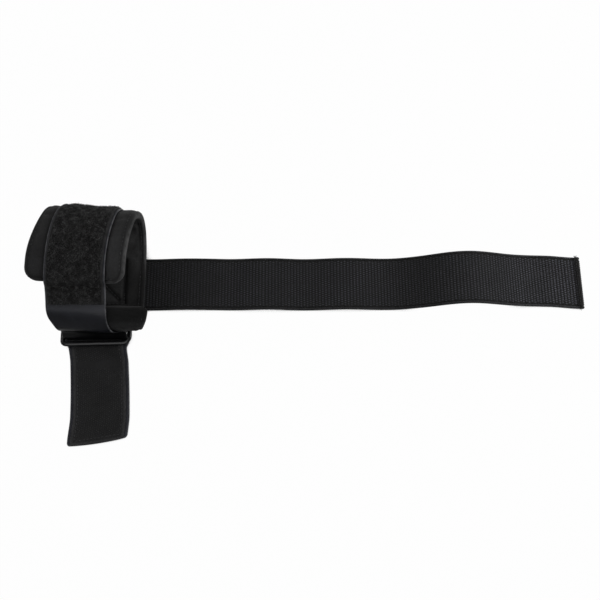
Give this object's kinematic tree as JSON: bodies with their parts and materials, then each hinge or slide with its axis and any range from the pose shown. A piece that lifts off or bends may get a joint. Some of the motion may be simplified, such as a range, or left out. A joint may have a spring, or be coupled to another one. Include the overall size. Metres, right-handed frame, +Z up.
{
  "type": "padded lifting wrist strap",
  "caption": "Curled padded wrist cuff with a hook-and-loop closure strap through a wire ring and a long woven tail with a rubber grip print on its underside.",
  "frame": {"origin": "on the table, on the underside of the sewn end of the tail, under the middle of the cuff", "axes": "+X along the tail, away from the cuff; the wrist goes through the cuff along X; -Y towards the ring and the strap's tip; +Z up"},
  "size_m": [0.3934, 0.1642, 0.0534],
  "materials": {
    "jersey": "matt knitted fabric with bound edges",
    "foam": "matt soft foam",
    "leather": "smooth, with a satin grain",
    "pile": "fuzzy loop pile",
    "hooks": "fine matt hooks",
    "tape": "woven tape",
    "metal": "satin black enamel",
    "webbing": "ribbed woven webbing",
    "print": "printed grip with raised dots and slanted white bars"
  },
  "bodies": {
    "cuff": {"cuff_cover": "jersey", "cuff_foam": "foam", "cuff_lining": "jersey", "back_strap": "leather", "back_loop": "pile", "front_strap": "leather", "front_loop": "pile", "ring_tab": "tape", "tail_root": "webbing"},
    "flap": {"flap_cover": "jersey", "flap_foam": "foam", "flap_lining": "jersey", "top_strap": "leather", "top_loop": "pile"},
    "ring": {"ring": "metal"},
    "strap_end": {"strap_end": "leather", "strap_end_hook": "hooks"},
    "strap_tip": {"strap_tip": "leather", "strap_tip_hook": "hooks"},
    "tail_1": {"tail_1": "webbing", "grip_1": "print"},
    "tail_2": {"tail_2": "webbing", "grip_2": "print"},
    "tail_3": {"tail_3": "webbing", "grip_3": "print"},
    "tail_4": {"tail_4": "webbing", "grip_4": "print"},
    "tail_5": {"tail_5": "webbing", "grip_5": "print", "tail_hem": "webbing"}
  },
  "joints": [
    {"name": "flap_hinge", "type": "hinge", "parent": "cuff", "child": "flap", "pos_m": [0, 0.04115, 0.0388], "axis": [1, 0, 0], "range_deg": [-20, 0], "stiffness_Nm_per_rad": 0.02, "deforming": ["front_strap", "front_loop"]},
    {"name": "ring_swing", "type": "hinge", "parent": "cuff", "child": "ring", "pos_m": [0.0007, -0.03863, 0.00395], "axis": [-1, 0, 0], "range_deg": [0, 25]},
    {"name": "strap_fold", "type": "hinge", "parent": "cuff", "child": "strap_end", "pos_m": [0.001, -0.04863, 0.00395], "axis": [-1, 0, 0], "range_deg": [0, 90]},
    {"name": "strap_tip_fold", "type": "hinge", "parent": "strap_end", "child": "strap_tip", "pos_m": [0.0034, -0.08363, 0.00225], "axis": [-1, 0, 0], "range_deg": [0, 60]},
    {"name": "tail_bend_1", "type": "hinge", "parent": "cuff", "child": "tail_1", "pos_m": [0.037, -0.004, 0.0009], "axis": [0, -1, 0], "range_deg": [0, 50]},
    {"name": "tail_bend_2", "type": "hinge", "parent": "tail_1", "child": "tail_2", "pos_m": [0.093, -0.004, 0.0009], "axis": [0, -1, 0], "range_deg": [0, 50]},
    {"name": "tail_bend_3", "type": "hinge", "parent": "tail_2", "child": "tail_3", "pos_m": [0.151, -0.004, 0.0009], "axis": [0, -1, 0], "range_deg": [0, 50]},
    {"name": "tail_bend_4", "type": "hinge", "parent": "tail_3", "child": "tail_4", "pos_m": [0.21, -0.004, 0.0009], "axis": [0, -1, 0], "range_deg": [0, 50]},
    {"name": "tail_bend_5", "type": "hinge", "parent": "tail_4", "child": "tail_5", "pos_m": [0.323, -0.004, 0.0009], "axis": [0, -1, 0], "range_deg": [0, 50]}
  ]
}
